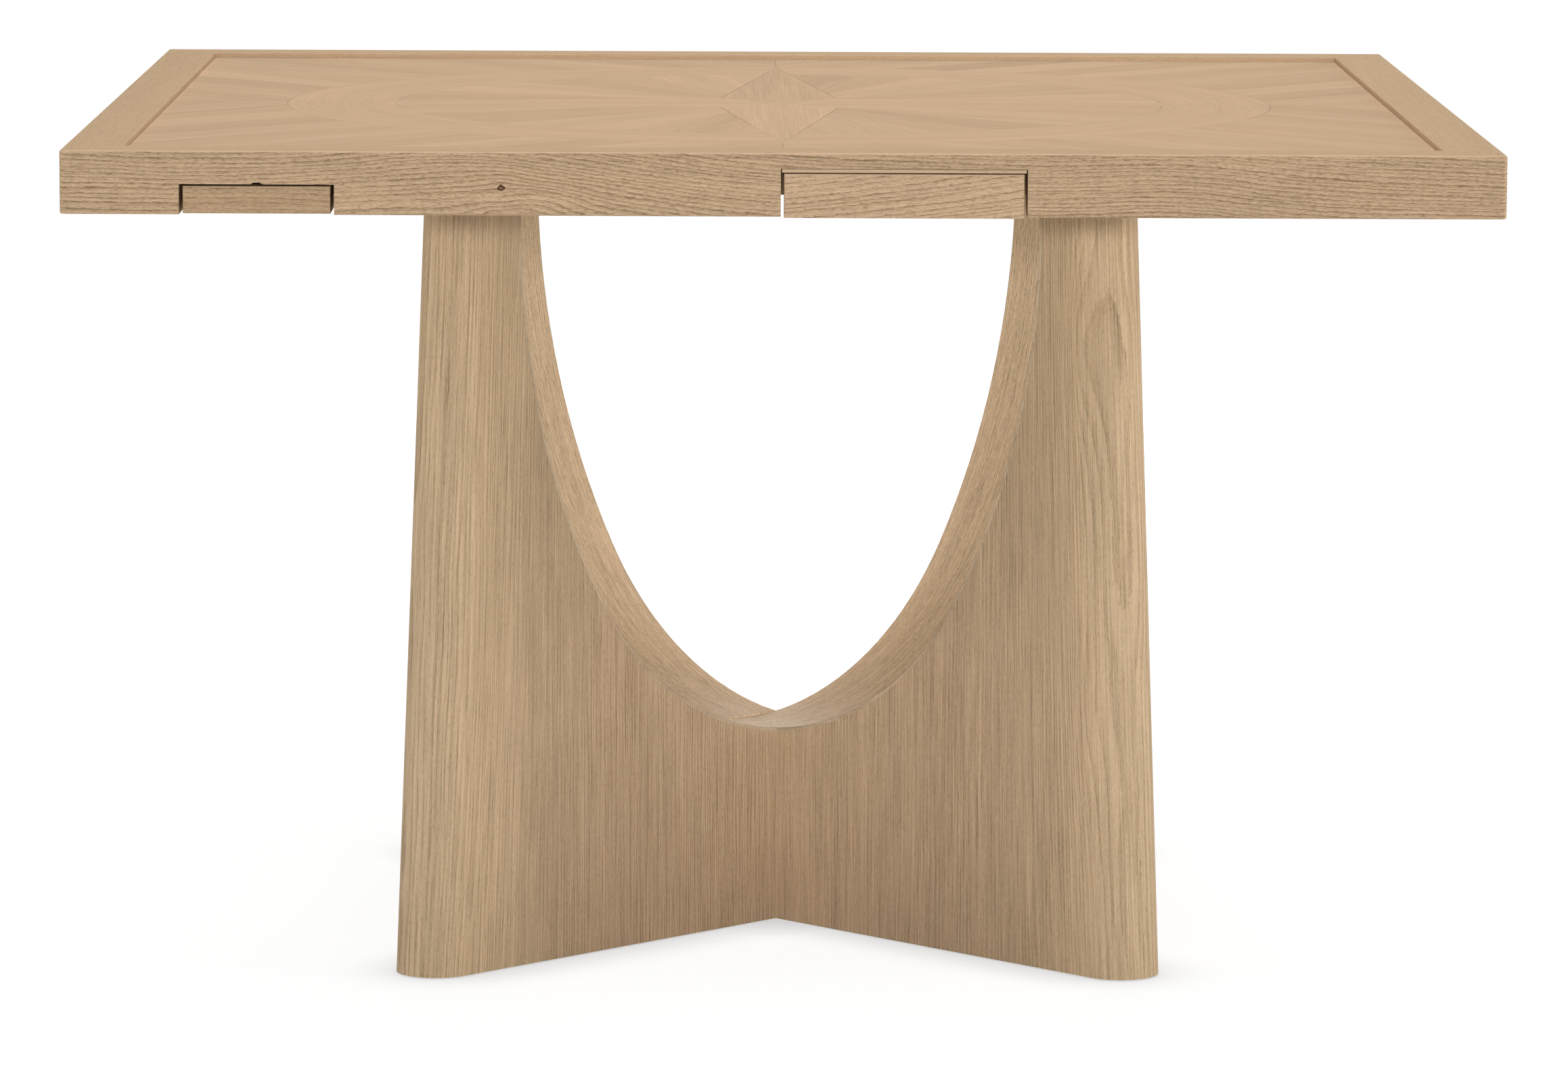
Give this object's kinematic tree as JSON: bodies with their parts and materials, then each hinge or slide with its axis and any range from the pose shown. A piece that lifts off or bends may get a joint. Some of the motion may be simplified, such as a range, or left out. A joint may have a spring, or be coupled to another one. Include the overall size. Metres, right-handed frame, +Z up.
{
  "type": "games table",
  "caption": "Square oak games table with a compass-star parquetry top in a raised rim, shallow drawers, pull-out cup slides and a crossed arch-panel base.",
  "frame": {"origin": "on the floor, under the middle of the table top", "axes": "+Z up; the front, as pictured, faces -Y and +X is to its right"},
  "size_m": [1.219, 1.219, 0.762],
  "materials": {
    "oak_rim": "brushed pale oak, matt oiled",
    "oak_fronts": "brushed pale oak, matt oiled",
    "oak_inlay": "pale oak veneer, satin",
    "oak_inlay_light": "pale oak veneer, satin",
    "oak_inlay_dark": "pale oak veneer of a darker cut, satin",
    "oak_base": "pale oak, matt oiled",
    "drawer_wood": "plain sanded birch",
    "frame_wood": "sawn and planed softwood and board",
    "plate_steel": "black powder coat",
    "fastener_steel": "zinc plated",
    "insert_brass": "turned",
    "glide_plastic": "moulded nylon"
  },
  "bodies": {
    "table": {"rail_front": "oak_rim", "rail_right": "oak_rim", "rail_back": "oak_rim", "rail_left": "oak_rim", "mitre_keys": "frame_wood", "panel_core": "frame_wood", "star": "oak_inlay", "sunburst_light": "oak_inlay_light", "sunburst_dark": "oak_inlay_dark", "ring": "oak_inlay", "corner_boards_light": "oak_inlay_light", "corner_boards_dark": "oak_inlay_dark", "bearer_front": "frame_wood", "bearer_right": "frame_wood", "bearer_back": "frame_wood", "bearer_left": "frame_wood", "ledger_cleats": "frame_wood", "drawer_runners": "frame_wood", "drawer_stops": "frame_wood", "drawer_kickers": "oak_fronts", "cup_runners": "frame_wood", "base_panel_a": "oak_base", "base_panel_b": "oak_base", "arch_band_a": "oak_base", "arch_band_b": "oak_base", "end_nosing_back_right": "oak_base", "end_nosing_back_left": "oak_base", "end_nosing_front_left": "oak_base", "end_nosing_front_right": "oak_base", "glides": "glide_plastic", "mounting_plates": "plate_steel", "plate_bolts": "fastener_steel", "threaded_inserts": "insert_brass", "plate_screws": "fastener_steel"},
    "drawer_front": {"drawer_front_front": "oak_fronts", "drawer_sides_front": "drawer_wood", "drawer_back_front": "drawer_wood", "drawer_bottom_front": "drawer_wood"},
    "drawer_right": {"drawer_front_right": "oak_fronts", "drawer_sides_right": "drawer_wood", "drawer_back_right": "drawer_wood", "drawer_bottom_right": "drawer_wood"},
    "drawer_back": {"drawer_front_back": "oak_fronts", "drawer_sides_back": "drawer_wood", "drawer_back_back": "drawer_wood", "drawer_bottom_back": "drawer_wood"},
    "drawer_left": {"drawer_front_left": "oak_fronts", "drawer_sides_left": "drawer_wood", "drawer_back_left": "drawer_wood", "drawer_bottom_left": "drawer_wood"},
    "cup_slide_front": {"cup_slide_front": "oak_fronts", "cup_stop_front": "drawer_wood"},
    "cup_slide_right": {"cup_slide_right": "oak_fronts", "cup_stop_right": "drawer_wood"},
    "cup_slide_back": {"cup_slide_back": "oak_fronts", "cup_stop_back": "drawer_wood"},
    "cup_slide_left": {"cup_slide_left": "oak_fronts", "cup_stop_left": "drawer_wood"}
  },
  "joints": [
    {"name": "drawer_slide_front", "type": "slide", "parent": "table", "child": "drawer_front", "axis": [0, -1, 0], "range_m": [0, 0.179]},
    {"name": "drawer_slide_right", "type": "slide", "parent": "table", "child": "drawer_right", "axis": [1, 0, 0], "range_m": [0, 0.179]},
    {"name": "drawer_slide_back", "type": "slide", "parent": "table", "child": "drawer_back", "axis": [0, 1, 0], "range_m": [0, 0.179]},
    {"name": "drawer_slide_left", "type": "slide", "parent": "table", "child": "drawer_left", "axis": [-1, 0, 0], "range_m": [0, 0.179]},
    {"name": "cup_slide_front", "type": "slide", "parent": "table", "child": "cup_slide_front", "axis": [0, -1, 0], "range_m": [0, 0.1145]},
    {"name": "cup_slide_right", "type": "slide", "parent": "table", "child": "cup_slide_right", "axis": [1, 0, 0], "range_m": [0, 0.1145]},
    {"name": "cup_slide_back", "type": "slide", "parent": "table", "child": "cup_slide_back", "axis": [0, 1, 0], "range_m": [0, 0.1145]},
    {"name": "cup_slide_left", "type": "slide", "parent": "table", "child": "cup_slide_left", "axis": [-1, 0, 0], "range_m": [0, 0.1145]}
  ]
}
